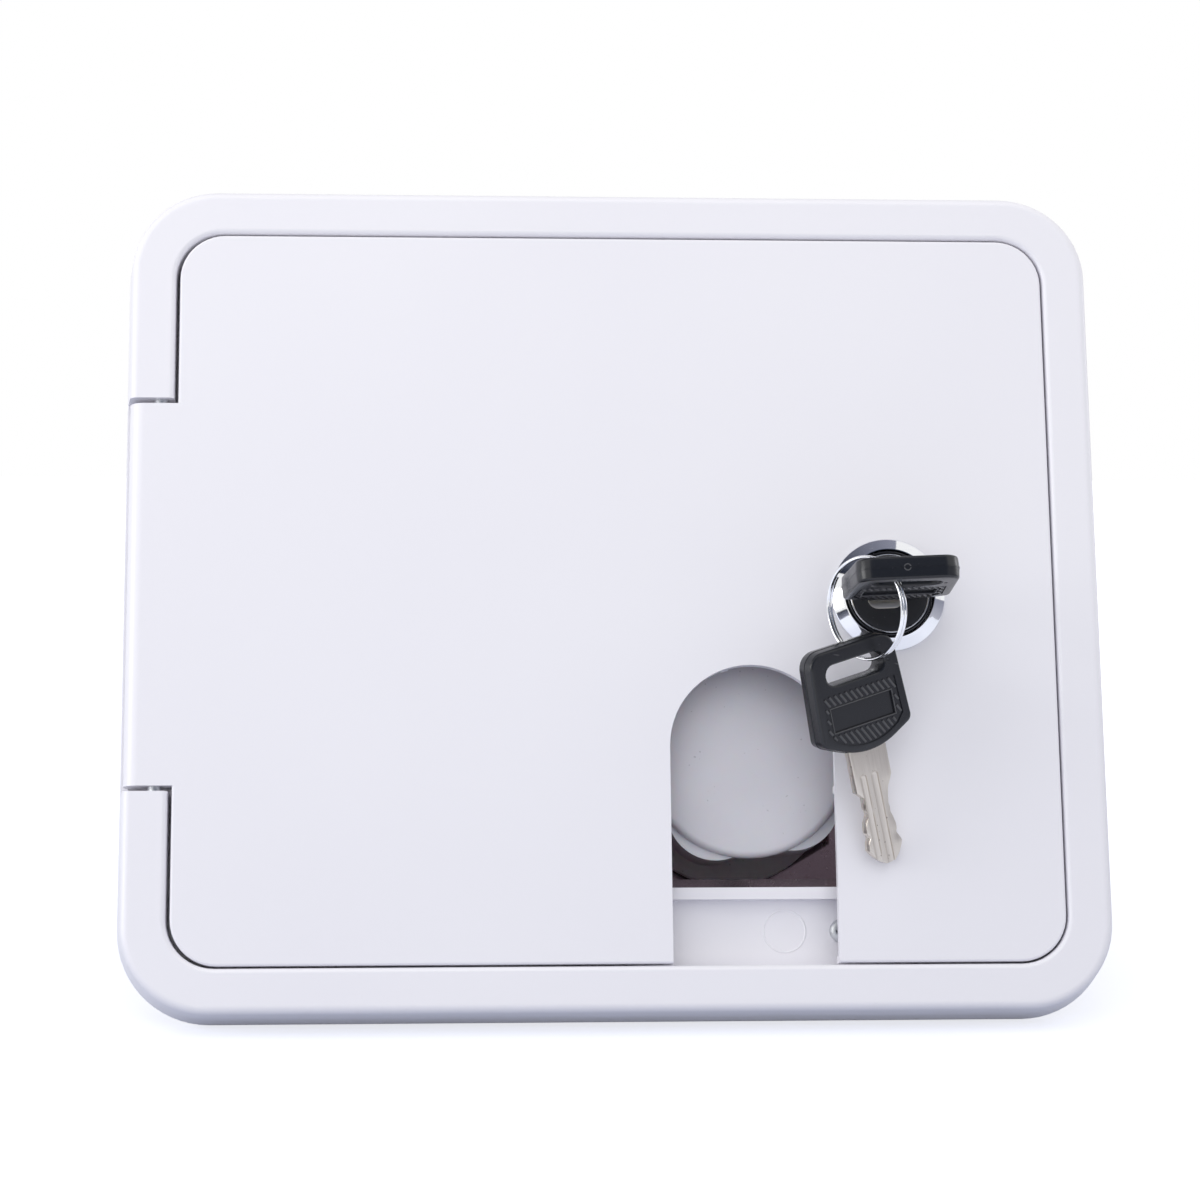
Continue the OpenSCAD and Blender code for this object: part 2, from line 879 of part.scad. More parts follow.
module at_cap(z) {
    stand()
        translate([cap_x, cap_y, z])
            children();
}

module cap_disc() {
    color("whitesmoke")
        at_cap(cap_face - cap_t)
            rotate_extrude()
                intersection() {
                    edge_section(cap_d / 2, cap_t, 0, cap_edge_r);
                    translate([0, cap_t - crown_r])
                        circle(r = crown_r, $fn = 720);
                }
}

module cap_grip() {
    color("whitesmoke")
        at_cap(grip_end)
            difference() {
                linear_extrude(grip_l) {
                    circle(r = grip_bore_d / 2 + grip_wall);
                    for (i = [0 : lobes - 1])
                        rotate([0, 0, -119 + i * 360 / lobes])
                            translate([lobe_offset, 0])
                                circle(r = lobe_r);
                }
                translate([0, 0, -past])
                    cylinder(d = grip_bore_d, h = grip_l + 2 * past);
            }
}

module cap_seal() {
    color("black")
        at_cap(cap_face - cap_t - seal_t)
            difference() {
                cylinder(d = grip_bore_d - 2 * running_fit, h = seal_t);
                translate([0, 0, -past])
                    cylinder(d = neck_bore - 2 * seal_lip, h = seal_t + 2 * past);
            }
}

bezel_frame();
recess_tray();
lock_keeper();
filler_neck();
neck_gasket();
neck_nut();
hinge_pin_upper();
hinge_pin_lower();
door_panel();
lock_bezel();
lock_housing();
lock_nut();
lock_plug();
plug_ring();
lock_cam();
cam_screw();
key_blade();
key_head();
split_ring();
spare_key_blade();
spare_key_head();
cap_disc();
cap_grip();
cap_seal();
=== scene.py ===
"""Finishes the water fill hatch: its plastics and metals, the lock, the keys and the filler cap.

The frame is in metres: X to the right, Z up, -Y out towards the user. Sizes here are in millimetres
and pass through MM. Turned pieces are made with Z out of the wall, the keys flat on XY with the
outer end of the head at Y = 0, and each is then put in its place.
"""

import json
import math

import bmesh
import bpy
from mathutils import Matrix, Vector

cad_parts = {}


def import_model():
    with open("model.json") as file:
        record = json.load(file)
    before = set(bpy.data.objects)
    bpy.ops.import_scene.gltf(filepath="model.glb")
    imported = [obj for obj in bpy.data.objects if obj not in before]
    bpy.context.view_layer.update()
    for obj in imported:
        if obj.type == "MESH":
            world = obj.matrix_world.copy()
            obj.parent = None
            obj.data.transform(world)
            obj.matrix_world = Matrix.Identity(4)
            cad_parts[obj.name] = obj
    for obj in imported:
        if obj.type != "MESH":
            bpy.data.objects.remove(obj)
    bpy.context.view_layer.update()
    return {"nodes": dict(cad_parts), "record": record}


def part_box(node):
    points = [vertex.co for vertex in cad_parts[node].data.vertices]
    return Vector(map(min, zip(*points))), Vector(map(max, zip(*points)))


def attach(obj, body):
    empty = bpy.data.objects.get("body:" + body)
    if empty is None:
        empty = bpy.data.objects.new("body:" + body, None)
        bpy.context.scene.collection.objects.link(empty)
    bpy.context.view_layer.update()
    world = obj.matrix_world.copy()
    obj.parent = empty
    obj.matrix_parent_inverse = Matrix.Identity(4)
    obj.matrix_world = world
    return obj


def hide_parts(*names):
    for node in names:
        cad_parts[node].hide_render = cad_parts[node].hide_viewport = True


MM = 0.001
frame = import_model()
NODES = frame["nodes"]
RECORD = frame["record"]
BODY_OF = {node: body for body, nodes in RECORD["behaviour"]["bodies"].items() for node in nodes}
SLOT_OF = {part["node"]: part["material_slot"] for part in RECORD["subparts"]}

# Places


def moved(x, y, z):
    return Matrix.Translation((x * MM, y * MM, z * MM))


def turned_by(degrees, axis):
    return Matrix.Rotation(math.radians(degrees), 4, axis)


def at_joint(name):
    """Where a joint of the record turns."""
    joints = {joint["name"]: joint["pos_m"] for joint in RECORD["behaviour"]["joints"]}
    return Matrix.Translation(joints[name])


BEZEL_TOP, DOOR_FACE, LEDGE_FACE = 14.55, 11.8, 2.6
HEAD_L, HEAD_T, BLADE_L, BLADE_T = 24.5, 5.1, 25.7, 2.0
KEY_GAP, KEY_ROLL = 3.5, 2.4
SLOT_IN, SLOT_L, SLOT_W = 5.9, 15.1, 4.55
RING_TURN, RING_TILT = -53.79, 100.9
OUT = turned_by(90, "X")
AT_LOCK = at_joint("lock_turn") @ OUT
AT_PLUG = AT_LOCK @ turned_by(KEY_ROLL, "Z")
AT_CAP = at_joint("cap_turn") @ OUT
IN_LOCK = AT_PLUG @ moved(0, 0, BEZEL_TOP + KEY_GAP + HEAD_L) @ turned_by(90, "X")
AT_RING = at_joint("ring_turn") @ turned_by(RING_TURN, "Z") @ turned_by(RING_TILT, "X")


def on_ring():
    """Place of the key that hangs from the ring and leans until its tip is just off the door."""
    hang = at_joint("spare_key_swing")
    in_slot = (5.75, 0.3)
    turn, tilt = 21.31, 13.38
    tip_gap, tip_half = 0.45, 1.0
    sine, cosine = math.sin(math.radians(turn)), math.cos(math.radians(turn))
    across = (tip_half - in_slot[0]) * sine + BLADE_T / 2 * cosine
    along = HEAD_L + BLADE_L - SLOT_IN + in_slot[1]
    reach = -hang.translation.y / MM - DOOR_FACE - tip_gap
    lean = math.degrees(math.asin(reach / math.hypot(across, along)) - math.atan2(across, along))
    swing = turned_by(-tilt, "Y") @ turned_by(lean, "X") @ turned_by(turn, "Z") @ turned_by(90, "X")
    return hang @ swing @ moved(-in_slot[0], SLOT_IN - in_slot[1], 0)


ON_RING = on_ring()


# Shader maths: a socket that can be used in Python expressions


class Sock:
    """One output socket in a shader tree, with arithmetic on it."""

    def __init__(self, shading, socket):
        self.shading = shading
        self.socket = socket

    def _maths(self, operation, a, b):
        return self.shading.node("ShaderNodeMath", {"operation": operation}, {0: a, 1: b})

    def __add__(self, other):
        return self._maths("ADD", self, other)

    __radd__ = __add__

    def __mul__(self, other):
        return self._maths("MULTIPLY", self, other)


class Shading:
    """A shader tree under construction."""

    def __init__(self, tree):
        self.tree = tree

    def node(self, kind, settings, inputs, output=0):
        """Any node: its settings first, then the values or links of its sockets."""
        node = self.tree.nodes.new(kind)
        for name, value in settings.items():
            if name == "stops":
                elements = node.color_ramp.elements
                while len(elements) < len(value):
                    elements.new(0.5)
                for element, (place, shade) in zip(elements, value):
                    element.position = place
                    element.color = (shade, shade, shade, 1)
            else:
                setattr(node, name, value)
        for key, value in inputs.items():
            self.join(value, node.inputs[key])
        return Sock(self, node.outputs[output])

    def join(self, value, socket):
        if isinstance(value, Sock):
            self.tree.links.new(value.socket, socket)
        else:
            socket.default_value = value

    def attribute(self, name):
        return self.node("ShaderNodeAttribute", {"attribute_name": name}, {}, "Fac")

    def blend(self, amount, first, second):
        """Two colours mixed by a mask."""
        pair = [(*shade, 1) if isinstance(shade, tuple) else shade for shade in (first, second)]
        return self.node("ShaderNodeMix", {"data_type": "RGBA"}, {0: amount, 6: pair[0], 7: pair[1]}, 2)

    def ray(self, kind):
        """1 for rays of one kind, 0 for the others."""
        return self.node("ShaderNodeLightPath", {}, {}, "Is " + kind + " Ray")

    def end(self, shader):
        """Makes a shader the surface of a material whose tree has no output yet."""
        out = self.tree.nodes.new("ShaderNodeOutputMaterial")
        self.join(shader, out.inputs["Surface"])


def stage_paint(name):
    """A material for the stage, with an empty tree."""
    paint = bpy.data.materials.new(name)
    paint.use_nodes = True
    paint.node_tree.nodes.clear()
    return paint, Shading(paint.node_tree)


class Finish(Shading):
    """A material under construction: its principled shader and the nodes that vary it."""

    def __init__(self, name, colour, roughness, **sockets):
        self.material = bpy.data.materials.new(name)
        self.material.use_nodes = True
        super().__init__(self.material.node_tree)
        self.shader = self.tree.nodes["Principled BSDF"]
        self.shader.inputs["Base Color"].default_value = (*colour, 1)
        self.shader.inputs["Roughness"].default_value = roughness
        for socket, value in sockets.items():
            self.shader.inputs[socket.replace("_", " ")].default_value = value

    def place(self, own=False):
        """Object coordinates, or a key's own, in metres."""
        if own:
            return self.node("ShaderNodeAttribute", {"attribute_name": "key_place"}, {}, "Vector")
        return self.node("ShaderNodeTexCoord", {}, {}, "Object")

    def noise(self, size, detail=2.0, stretch=(1, 1, 1), rough=0.5, own=False):
        """Soft noise whose lumps are about size millimetres across."""
        place = self.node("ShaderNodeMapping", {}, {"Vector": self.place(own), "Scale": stretch})
        sockets = {"Vector": place, "Scale": 1 / (size * MM), "Detail": detail, "Roughness": rough}
        return self.node("ShaderNodeTexNoise", {}, sockets, "Fac")

    def ramp(self, value, *stops):
        return self.node("ShaderNodeValToRGB", {"stops": stops}, {"Fac": value}, "Color")

    def relief(self, height, depth):
        """Bump in millimetres from a height mask."""
        sockets = {"Height": height, "Distance": depth * MM, "Strength": 1.0}
        self.join(self.node("ShaderNodeBump", {}, sockets), self.shader.inputs["Normal"])

    def colour(self, value):
        self.join(value, self.shader.inputs["Base Color"])

    def rough(self, value):
        self.join(value, self.shader.inputs["Roughness"])

    def scratches(self, size, thin, cut):
        """A sparse mask of fine scratches: stretched noise cut off near its peak, in patches."""
        lines = self.noise(size, 1.0, (1, 1, thin), 0.4)
        patches = self.noise(size * 9, 2.0)
        return self.ramp(lines * patches, (cut, 0.0), (cut + 0.05, 1.0))


# Finishes


def white_plastic():
    """Satin white moulded plastic with a faint lavender cast, fine orange peel and a few scuffs."""
    f = Finish("white_plastic", (0.85, 0.842, 0.895), 0.34)
    broad = f.noise(60, 1.0)
    scuff = f.scratches(14, 6, 0.45)
    f.colour(f.blend(broad, (0.84, 0.83, 0.885), (0.865, 0.857, 0.905)))
    f.rough(0.32 + broad * 0.06 + scuff * 0.12)
    f.relief(f.noise(0.9, 2.0), 0.004)
    return f.material


def dark_plastic():
    """Glossy brown-black plastic of the tray, which lets a little light in, with some dust."""
    coat = {"Coat_Weight": 0.3, "Coat_Roughness": 0.08}
    f = Finish("dark_plastic", (0.17, 0.12, 0.135), 0.2, Transmission_Weight=0.8, **coat)
    flow = f.noise(38, 3.0, (1, 1, 0.4))
    dust = f.ramp(f.noise(1.1, 1.0), (0.7, 0.0), (0.76, 0.3))
    f.colour(f.blend(flow, (0.15, 0.105, 0.12), (0.19, 0.135, 0.15)))
    f.rough(0.16 + flow * 0.1 + dust)
    f.relief(flow, 0.05)
    return f.material


def milky_plastic():
    """Milky plastic of the cap and neck, softly clouded, with a few dark specks."""
    f = Finish("milky_plastic", (0.7, 0.69, 0.74), 0.42, Subsurface_Weight=0.2, Subsurface_Scale=0.003)
    cloud = f.noise(16, 3.0)
    specks = f.ramp(f.noise(0.8, 0.0), (0.82, 0.0), (0.85, 1.0))
    pale = f.blend(cloud, (0.66, 0.65, 0.7), (0.75, 0.74, 0.79))
    f.colour(f.blend(specks * 0.4, pale, (0.3, 0.3, 0.32)))
    f.rough(0.36 + cloud * 0.14)
    f.relief(f.noise(1.6, 2.0), 0.01)
    return f.material


def black_rubber():
    """Matt black rubber of the seal and the gasket."""
    f = Finish("black_rubber", (0.022, 0.022, 0.024), 0.75)
    grain = f.noise(0.5, 3.0)
    f.colour(f.blend(grain, (0.016, 0.016, 0.018), (0.034, 0.034, 0.036)))
    f.rough(0.66 + grain * 0.2)
    f.relief(grain, 0.02)
    return f.material


def steel():
    """Bright zinc plating, slightly cloudy and blue."""
    f = Finish("steel", (0.62, 0.64, 0.66), 0.3, Metallic=1.0)
    cloud = f.noise(3.5, 4.0)
    f.colour(f.blend(cloud, (0.5, 0.52, 0.54), (0.74, 0.75, 0.76)))
    f.rough(0.36 + cloud * 0.2)
    f.relief(f.noise(0.35, 2.0), 0.006)
    return f.material


def chrome():
    """Polished chrome with hairline scratches."""
    f = Finish("chrome", (0.86, 0.87, 0.89), 0.06, Metallic=1.0)
    scratch = f.scratches(2.5, 7, 0.4)
    cloud = f.noise(5, 2.0)
    f.colour(f.blend(cloud, (0.82, 0.83, 0.86), (0.9, 0.905, 0.92)))
    f.rough(0.05 + cloud * 0.04 + scratch * 0.15)
    return f.material


def black_plastic():
    """Satin black plastic of the key heads and the lock, with fine grain and greyed scuffs; the whole plug
    is a lighter grey, and the ridges, rims and gate rings of the key heads are greyed as painted highlight.
    """
    f = Finish("black_plastic", (0.012, 0.013, 0.017), 0.3)
    grain = f.noise(0.7, 3.0)
    scuff = f.scratches(3.2, 5, 0.42)
    f.colour(f.blend(scuff * 0.5 + f.attribute("worn"), (0.011, 0.012, 0.016), (0.09, 0.09, 0.095)))
    f.rough(0.2 + grain * 0.1)
    f.relief(grain, 0.006)
    return f.material


def key_metal():
    """Worn nickel silver: milling lines along the blade, and grime in small patches."""
    f = Finish("key_metal", (0.66, 0.62, 0.56), 0.28, Metallic=1.0)
    lines = f.noise(0.5, 2.0, (1, 0.06, 1), own=True)
    grime = f.ramp(f.noise(0.9, 1.0, own=True), (0.72, 0.0), (0.77, 1.0))
    bright = f.blend(lines, (0.6, 0.55, 0.48), (0.78, 0.73, 0.66))
    f.colour(f.blend(grime * 0.7, bright, (0.2, 0.16, 0.13)))
    f.rough(0.24 + lines * 0.16 + grime * 0.25)
    f.relief(lines, 0.01)
    return f.material


FINISHES = {
    "white_plastic": white_plastic(),
    "dark_plastic": dark_plastic(),
    "milky_plastic": milky_plastic(),
    "black_rubber": black_rubber(),
    "steel": steel(),
    "chrome": chrome(),
    "black_plastic": black_plastic(),
    "key_metal": key_metal(),
}


# Making pieces


def add_piece(name, mesh, node, replaces=True):
    """Links a finished mesh in the finish and on the body of a CAD node, and hides that node."""
    piece = bpy.data.objects.new(name, mesh)
    bpy.context.scene.collection.objects.link(piece)
    mesh.materials.clear()
    mesh.materials.append(FINISHES[SLOT_OF[node]])
    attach(piece, BODY_OF[node])
    if replaces:
        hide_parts(node)
    return piece


def smooth(mesh, angle=32):
    """Smooth shading that keeps edges sharper than the angle."""
    mesh.shade_smooth()
    mesh.set_sharp_from_angle(angle=math.radians(angle))
    return mesh


def lighten_points(mesh, level, first=0):
    """Greys the black plastic of a mesh's points, from the first one on: a lighter grey on the plug,
    painted highlight on the keys' ridges.
    """
    worn = mesh.attributes.new("worn", "FLOAT", "POINT")
    worn.data.foreach_set("value", [level if i >= first else 0.0 for i in range(len(mesh.vertices))])
    return mesh


def scratch_object(data, name="scratch"):
    thing = bpy.data.objects.new(name, data)
    bpy.context.scene.collection.objects.link(thing)
    return thing


def discard(thing):
    data = thing.data
    bpy.data.objects.remove(thing)
    if data and data.users == 0:
        (bpy.data.curves if isinstance(data, bpy.types.Curve) else bpy.data.meshes).remove(data)


def plain_mesh(thing, name):
    """The evaluated shape of a scratch object as a plain mesh, after which the object goes."""
    bpy.context.view_layer.update()
    evaluated = thing.evaluated_get(bpy.context.evaluated_depsgraph_get())
    mesh = bpy.data.meshes.new_from_object(evaluated)
    mesh.name = name
    discard(thing)
    return mesh


def merged(mesh, gap=1e-6):
    shape = bmesh.new()
    shape.from_mesh(mesh)
    bmesh.ops.remove_doubles(shape, verts=shape.verts, dist=gap)
    shape.to_mesh(mesh)
    shape.free()
    return mesh


def joined(name, meshes):
    """Several meshes as one."""
    shape = bmesh.new()
    for mesh in meshes:
        shape.from_mesh(mesh)
        bpy.data.meshes.remove(mesh)
    result = bpy.data.meshes.new(name)
    shape.to_mesh(result)
    shape.free()
    return result


def placed(mesh, place):
    mesh.transform(place)
    return mesh


def skin(name, rings, closed=False):
    """A solid through rings of points in millimetres; it ends in flat faces, or closes on itself."""
    shape = bmesh.new()
    loops = [[shape.verts.new(Vector(point) * MM) for point in ring] for ring in rings]
    pairs = list(zip(loops, loops[1:]))
    if closed:
        pairs.append((loops[-1], loops[0]))
    for first, second in pairs:
        count = max(len(first), len(second))
        if count == 1:
            continue
        for i in range(count):
            j = (i + 1) % count
            corners = [first[i % len(first)], first[j % len(first)]]
            corners += [second[j % len(second)], second[i % len(second)]]
            shape.faces.new(list(dict.fromkeys(corners)))
    if not closed:
        for loop in (loops[0], loops[-1]):
            if len(loop) > 2:
                shape.faces.new(loop)
    bmesh.ops.recalc_face_normals(shape, faces=shape.faces)
    mesh = bpy.data.meshes.new(name)
    shape.to_mesh(mesh)
    shape.free()
    return mesh


def circle_points(radius, height, steps):
    angles = [2 * math.pi * i / steps for i in range(steps)]
    return [(radius * math.cos(a), radius * math.sin(a), height) for a in angles]


def turned(name, profile, steps=128, pitch=1.0):
    """Turns a closed profile about Z: radius, height and, on a screw thread, its depth."""
    rings = []
    for radius, height, *depth in profile:
        if radius == 0:
            rings.append([(0, 0, height)])
            continue
        ring = []
        for i in range(steps):
            angle = 2 * math.pi * i / steps
            wave = 0.5 + 0.5 * math.cos(angle + 2 * math.pi * height / pitch)
            reach = radius - (depth[0] * wave if depth else 0)
            ring.append((reach * math.cos(angle), reach * math.sin(angle), height))
        rings.append(ring)
    return skin(name, rings, closed=True)


def thread_rows(radius, start, end, pitch, depth):
    """Profile rows for a screw thread, fading out at both ends."""
    count = round(abs(end - start) / pitch * 6)
    rows = []
    for i in range(count + 1):
        fade = min(1, i / 6, (count - i) / 6)
        rows.append((radius, start + (end - start) * i / count, depth * fade))
    return rows


def arc(centre, radius, start, end, steps=6):
    """Points of an arc, angles in degrees."""
    angles = [math.radians(start + (end - start) * i / steps) for i in range(steps + 1)]
    return [(centre[0] + radius * math.cos(a), centre[1] + radius * math.sin(a)) for a in angles]


def rounded_levels(low, high, edge, steps=4):
    """Heights and insets of a plate's section with round edges."""
    turn = [math.pi / 2 * i / steps for i in range(steps + 1)]
    top = [(high - edge * (1 - math.cos(a)), edge * (1 - math.sin(a))) for a in turn]
    return top + [(low + high - z, inset) for z, inset in reversed(top)]


def plate(name, outline, low, high, edge):
    """A plate with round edges from an outline that takes its inset."""
    levels = rounded_levels(low, high, edge)
    return skin(name, [[(x, y, z) for x, y in outline(inset)] for z, inset in levels])


def stadium(length, width, grow=0.0, steps=10):
    run, r = (length - width) / 2, width / 2 + grow
    return arc((run, 0), r, 90, -90, steps) + arc((-run, 0), r, -90, -270, steps)


def carved(mesh, cutters):
    """A solid with others cut out of it."""
    body = scratch_object(mesh)
    tools = [scratch_object(cutter) for cutter in cutters]
    for tool in tools:
        cut = body.modifiers.new("cut", "BOOLEAN")
        cut.operation = "DIFFERENCE"
        cut.solver = "EXACT"
        cut.object = tool
    result = plain_mesh(body, mesh.name)
    for tool in tools:
        discard(tool)
    return merged(result)


def hex_nut(name, flats, bore, low, high, steps=144):
    """A hexagon nut whose corners and bore are chamfered on both sides."""
    flat_share, chamfer, bore_share = 0.985, 28, 1.05
    start = flats / 2 * flat_share
    slope = math.tan(math.radians(chamfer))
    lip = bore * bore_share
    crest, foot = [], []
    for i in range(steps):
        angle = 2 * math.pi * i / steps
        reach = flats / 2 / math.cos((angle + math.pi / 6) % (math.pi / 3) - math.pi / 6)
        drop = (reach - start) * slope
        across, up = reach * math.cos(angle), reach * math.sin(angle)
        crest.append((across, up, high - drop))
        foot.append((across, up, low + drop))
    top = [(bore, high - lip + bore), (lip, high), (start, high)]
    under = [(start, low), (lip, low), (bore, low + lip - bore)]
    upper, lower = ([circle_points(r, z, steps) for r, z in rows] for rows in (top, under))
    return skin(name, upper + [crest, foot] + lower, closed=True)


def smoothed_node(node, name, angle=30):
    """A merged copy of a CAD solid with smooth fillets and flat faces."""
    gap, flat = 2e-6, math.radians(0.3)
    mesh = NODES[node].data.copy()
    mesh.name = name
    mesh.attributes.remove(mesh.attributes["custom_normal"])
    merged(mesh, gap)
    shape = bmesh.new()
    shape.from_mesh(mesh)
    bmesh.ops.dissolve_limit(shape, angle_limit=flat, verts=shape.verts, edges=shape.edges)
    shape.to_mesh(mesh)
    shape.free()
    smooth(mesh, angle)
    holder = scratch_object(mesh)
    weigh = holder.modifiers.new("weigh", "WEIGHTED_NORMAL")
    weigh.keep_sharp = True
    return plain_mesh(holder, name)


# Geometry Nodes


class Nodes:
    """A Geometry Nodes tree under construction, with named inputs."""

    def __init__(self, name):
        self.tree = bpy.data.node_groups.new(name, "GeometryNodeTree")
        self.tree.interface.new_socket("Geometry", in_out="INPUT", socket_type="NodeSocketGeometry")
        self.tree.interface.new_socket("Geometry", in_out="OUTPUT", socket_type="NodeSocketGeometry")
        self.start = self.tree.nodes.new("NodeGroupInput")
        self.values = {}

    def input(self, name, kind, value):
        """A named input; returns its socket inside the tree."""
        socket = self.tree.interface.new_socket(name, in_out="INPUT", socket_type=kind)
        self.values[socket.identifier] = value
        return self.start.outputs[name]

    def add(self, kind, settings=(), **inputs):
        """A node with its settings and the values or links of its sockets, by name."""
        node = self.tree.nodes.new(kind)
        for name, value in dict(settings).items():
            setattr(node, name, value)
        for name, value in inputs.items():
            socket = node.inputs[name.replace("_", " ")]
            if isinstance(value, bpy.types.NodeSocket):
                self.tree.links.new(value, socket)
            else:
                socket.default_value = value
        return node

    def build(self, name, geometry, material):
        """Ends the tree, runs it on an empty mesh and returns the plain mesh."""
        real = self.add("GeometryNodeRealizeInstances", Geometry=geometry)
        painted = self.add("GeometryNodeSetMaterial", Geometry=real.outputs[0], Material=material)
        end = self.tree.nodes.new("NodeGroupOutput")
        self.tree.links.new(painted.outputs[0], end.inputs[0])
        holder = scratch_object(bpy.data.meshes.new(name), name)
        modifier = holder.modifiers.new("nodes", "NODES")
        modifier.node_group = self.tree
        for identifier, value in self.values.items():
            modifier[identifier] = value
        mesh = plain_mesh(holder, name)
        bpy.data.node_groups.remove(self.tree)
        return mesh


def wires(name, paths, wire, material, closed=False):
    """Round wires of one thickness along paths of points in millimetres."""
    points, edges = [], []
    for path in paths:
        first = len(points)
        points += [tuple(c * MM for c in point) for point in path]
        edges += [(i, i + 1) for i in range(first, len(points) - 1)]
        if closed:
            edges.append((len(points) - 1, first))
    lines = bpy.data.meshes.new(name + "_paths")
    lines.from_pydata(points, edges, [])
    holder = scratch_object(lines)
    n = Nodes(name)
    source = n.input("Paths", "NodeSocketObject", holder)
    radius = n.input("Wire radius", "NodeSocketFloat", wire / 2 * MM)
    paths_in = n.add("GeometryNodeObjectInfo", Object=source)
    curve = n.add("GeometryNodeMeshToCurve", Mesh=paths_in.outputs["Geometry"])
    round_wire = n.add("GeometryNodeCurvePrimitiveCircle", Resolution=12, Radius=radius)
    tube = n.add(
        "GeometryNodeCurveToMesh",
        Curve=curve.outputs[0],
        Profile_Curve=round_wire.outputs[0],
        Fill_Caps=True,
    )
    mesh = n.build(name, tube.outputs[0], material)
    discard(holder)
    return mesh


def copies(name, pattern, points, material, spin=0.0, seed=1):
    """Copies of a mesh at points in millimetres, each turned at random about Y by up to spin degrees."""
    cloud = bpy.data.meshes.new(name + "_places")
    cloud.from_pydata([tuple(c * MM for c in point) for point in points], [], [])
    places, shape = scratch_object(cloud), scratch_object(pattern)
    n = Nodes(name)
    where = n.input("Places", "NodeSocketObject", places)
    what = n.input("Pattern", "NodeSocketObject", shape)
    most = n.input("Spin", "NodeSocketFloat", math.radians(spin))
    places_in = n.add("GeometryNodeObjectInfo", Object=where)
    shape_in = n.add("GeometryNodeObjectInfo", Object=what)
    angle = n.add("FunctionNodeRandomValue", {"data_type": "FLOAT"}, Seed=seed)
    n.tree.links.new(most, angle.inputs[3])
    about_y = n.add("ShaderNodeCombineXYZ", Y=angle.outputs[1])
    turn = n.add("FunctionNodeEulerToRotation", Euler=about_y.outputs[0])
    spread = n.add(
        "GeometryNodeInstanceOnPoints",
        Points=places_in.outputs["Geometry"],
        Instance=shape_in.outputs["Geometry"],
        Rotation=turn.outputs[0],
    )
    mesh = n.build(name, spread.outputs[0], material)
    discard(places)
    discard(shape)
    return mesh


# Hatch


def make_shell():
    """Frame, door, tray and pins keep the CAD's shapes, with smooth fillets."""
    for node, name in {
        "bezel_frame": "frame_moulding",
        "door_panel": "door_moulding",
        "recess_tray": "tray_moulding",
        "lock_keeper": "keeper_block",
        "hinge_pin_upper": "upper_pin",
        "hinge_pin_lower": "lower_pin",
    }.items():
        add_piece(name, smoothed_node(node, name), node)


def cross_recess(reach, width, depth, top):
    """Cutters for a cross recess that narrows downwards."""
    cutters = []
    for along in (True, False):
        rings = []
        for height, share in ((top + 0.5, 1.1), (top, 1.0), (top - depth, 0.55)):
            a, b = reach * share / 2, width * (0.5 + 0.5 * share) / 2
            if not along:
                a, b = b, a
            rings.append([(-a, -b, height), (a, -b, height), (a, b, height), (-a, b, height)])
        cutters.append(skin("cross", rings))
    return cutters


def pan_screw(name, head_d, head_h, shank_d, shank_l, pitch):
    """A pan head screw with a cross recess; its head sits on Z = 0."""
    r = head_d / 2
    profile = [(0, head_h), (r * 0.45, head_h * 0.985), (r * 0.68, head_h * 0.9), (r * 0.86, head_h * 0.72)]
    profile += [(r * 0.96, head_h * 0.45), (r, head_h * 0.2), (r, head_h * 0.04), (r * 0.97, 0)]
    profile += [(shank_d / 2, 0)]
    profile += thread_rows(shank_d / 2, -0.3, -shank_l + 2.5, pitch, shank_d * 0.16)
    profile += [(shank_d * 0.22, -shank_l + 0.6), (0, -shank_l)]
    screw = turned(name, profile, 40, pitch)
    return carved(screw, cross_recess(head_d * 0.56, head_d * 0.15, head_h * 0.75, head_h))


def make_ledge_details():
    """Pan head screws through the ledge, and the ring marks that the mould's ejectors left on it."""
    pattern = {mount["name"]: mount["dims"] for mount in RECORD["mounts"]}["ledge_screws"]
    screw_x, screw_z = pattern["spacing_x_mm"] / 2, pattern["spacing_y_mm"] / 2
    head_d, head_h, shank_d, shank_l, pitch = 5.4, 1.5, 2.9, 12, 1.2
    screw = placed(pan_screw("ledge_screw", head_d, head_h, shank_d, shank_l, pitch), OUT)
    places = [(x, -LEDGE_FACE, z) for x in (-screw_x, screw_x) for z in (-screw_z, screw_z)]
    mesh = copies("ledge_screws", smooth(screw, 28), places, FINISHES["steel"], spin=90, seed=4)
    screws = bpy.data.objects.new("ledge_screws", mesh)
    bpy.context.scene.collection.objects.link(screws)
    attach(screws, "hatch")
    section = [(4.4, -0.05), (4.45, 0.07), (4.56, 0.14), (4.74, 0.14), (4.85, 0.07), (4.9, -0.05)]
    mark = smooth(placed(turned("mark", section, 64), OUT), 60)
    spots = [(x, -LEDGE_FACE, z) for x in (-75, -36.8, 0, 36.8, 75) for z in (-screw_z, screw_z)]
    spots += [(x, -LEDGE_FACE, z) for x in (-89.5, 89.5) for z in (-30, 30)]
    marks = copies("ejector_marks", mark, spots, FINISHES["white_plastic"])
    add_piece("ejector_marks", marks, "bezel_frame", False)


# Lock

KEYWAY = (10.0, 2.4)


